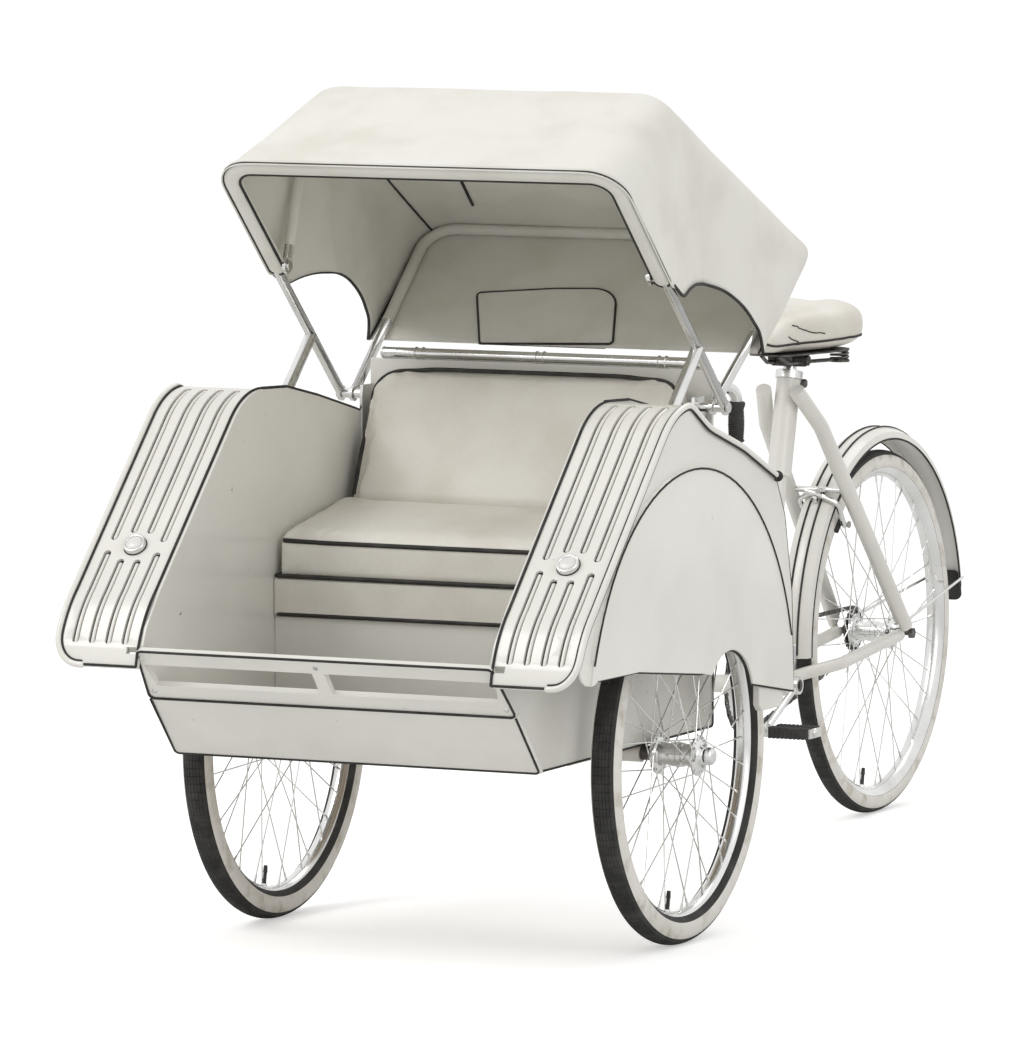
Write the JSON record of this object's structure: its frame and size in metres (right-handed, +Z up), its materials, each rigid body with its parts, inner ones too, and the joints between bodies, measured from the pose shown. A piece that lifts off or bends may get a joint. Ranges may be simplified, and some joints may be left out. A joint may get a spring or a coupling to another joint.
{
  "type": "cycle rickshaw",
  "caption": "Three-wheeled cycle rickshaw: a hooded passenger seat between two fendered front wheels, steered by the driver's hinged bicycle half behind it.",
  "frame": {"origin": "on the floor, under the middle of the vehicle's length and width", "axes": "+Z up, -Y the way the passenger faces and the vehicle goes, +X to the vehicle's left"},
  "size_m": [1, 2.8681, 1.4956],
  "materials": {
    "painted_body": "gloss",
    "floor_wood": "satin",
    "painted_frame": "gloss",
    "bright_steel": "polished",
    "dark_steel": "satin",
    "tyre_rubber": "matt",
    "hand_rubber": "matt",
    "upholstery": "satin",
    "canopy_cloth": "matt"
  },
  "bodies": {
    "carriage": {"back_rail": "bright_steel", "backrest_cushion": "upholstery", "chassis_frame": "painted_frame", "fender_front_left": "painted_body", "fender_front_right": "painted_body", "fender_skirt_left": "painted_body", "fender_skirt_right": "painted_body", "fender_top_left": "painted_body", "fender_top_right": "painted_body", "floor_pan": "floor_wood", "front_axle": "bright_steel", "front_axle_nuts": "bright_steel", "front_bar": "painted_body", "handlebar": "bright_steel", "handlebar_grips": "hand_rubber", "hood_bracket_left": "bright_steel", "hood_bracket_right": "bright_steel", "hood_cover": "canopy_cloth", "hood_rear_bow": "bright_steel", "hood_stay_left": "bright_steel", "hood_stay_right": "bright_steel", "kick_panel": "painted_body", "kingpin": "bright_steel", "kingpin_bracket": "painted_frame", "rear_panel": "painted_body", "seat_board": "upholstery", "seat_box": "painted_body", "seat_cushion": "upholstery", "side_wall_left": "painted_body", "side_wall_right": "painted_body", "skirt_bracket_left": "painted_body", "skirt_bracket_right": "painted_body"},
    "rear_frame": {"backbone": "painted_frame", "down_tube": "painted_frame", "seat_tube": "painted_frame", "chain_stay_left": "painted_frame", "chain_stay_right": "painted_frame", "seat_stay_left": "painted_frame", "seat_stay_right": "painted_frame", "rear_axle": "bright_steel", "rear_axle_nuts": "bright_steel", "rear_mudguard": "painted_frame", "mudguard_mounts": "bright_steel", "seat_post": "bright_steel", "saddle_cradle": "painted_frame", "saddle": "upholstery", "chain": "dark_steel"},
    "left_wheel": {"front_wheel_left": "bright_steel", "front_tyre_left": "tyre_rubber"},
    "right_wheel": {"front_wheel_right": "bright_steel", "front_tyre_right": "tyre_rubber"},
    "back_wheel": {"rear_wheel": "bright_steel", "rear_tyre": "tyre_rubber", "rear_sprocket": "dark_steel"},
    "crank": {"crankset": "bright_steel"},
    "left_pedal": {"pedal_left": "hand_rubber"},
    "right_pedal": {"pedal_right": "hand_rubber"},
    "hood_front": {"hood_front_bow": "bright_steel"},
    "hood_mid": {"hood_mid_bow": "bright_steel"}
  },
  "joints": [
    {"name": "steering", "type": "hinge", "parent": "carriage", "child": "rear_frame", "pos_m": [0, -0.397, 0.46], "axis": [0, 0, 1], "range_deg": [-42, 42]},
    {"name": "left_wheel_spin", "type": "hinge", "parent": "carriage", "child": "left_wheel", "pos_m": [0.395, -0.782, 0.335], "axis": [1, 0, 0], "continuous": true},
    {"name": "right_wheel_spin", "type": "hinge", "parent": "carriage", "child": "right_wheel", "pos_m": [-0.395, -0.782, 0.335], "axis": [1, 0, 0], "continuous": true},
    {"name": "back_wheel_spin", "type": "hinge", "parent": "rear_frame", "child": "back_wheel", "pos_m": [0, 1.038, 0.3555], "axis": [1, 0, 0], "continuous": true},
    {"name": "crank_spin", "type": "hinge", "parent": "rear_frame", "child": "crank", "pos_m": [0, 0.523, 0.305], "axis": [1, 0, 0], "continuous": true},
    {"name": "left_pedal_spin", "type": "hinge", "parent": "crank", "child": "left_pedal", "pos_m": [0.12, 0.37346, 0.23527], "axis": [1, 0, 0], "continuous": true},
    {"name": "right_pedal_spin", "type": "hinge", "parent": "crank", "child": "right_pedal", "pos_m": [-0.12, 0.67254, 0.37473], "axis": [1, 0, 0], "continuous": true},
    {"name": "hood_fold", "type": "hinge", "parent": "carriage", "child": "hood_front", "pos_m": [0, -0.545, 0.927], "axis": [-1, 0, 0], "range_deg": [0, 80], "deforming": ["hood_cover"]},
    {"name": "hood_mid_fold", "type": "hinge", "parent": "hood_front", "child": "hood_mid", "pos_m": [0, -0.81324, 1.17453], "axis": [1, 0, 0], "range_deg": [0, 50]}
  ],
  "couplings": [
    {"joint": "hood_mid_fold", "follows": "hood_fold", "ratio": 0.625}
  ]
}
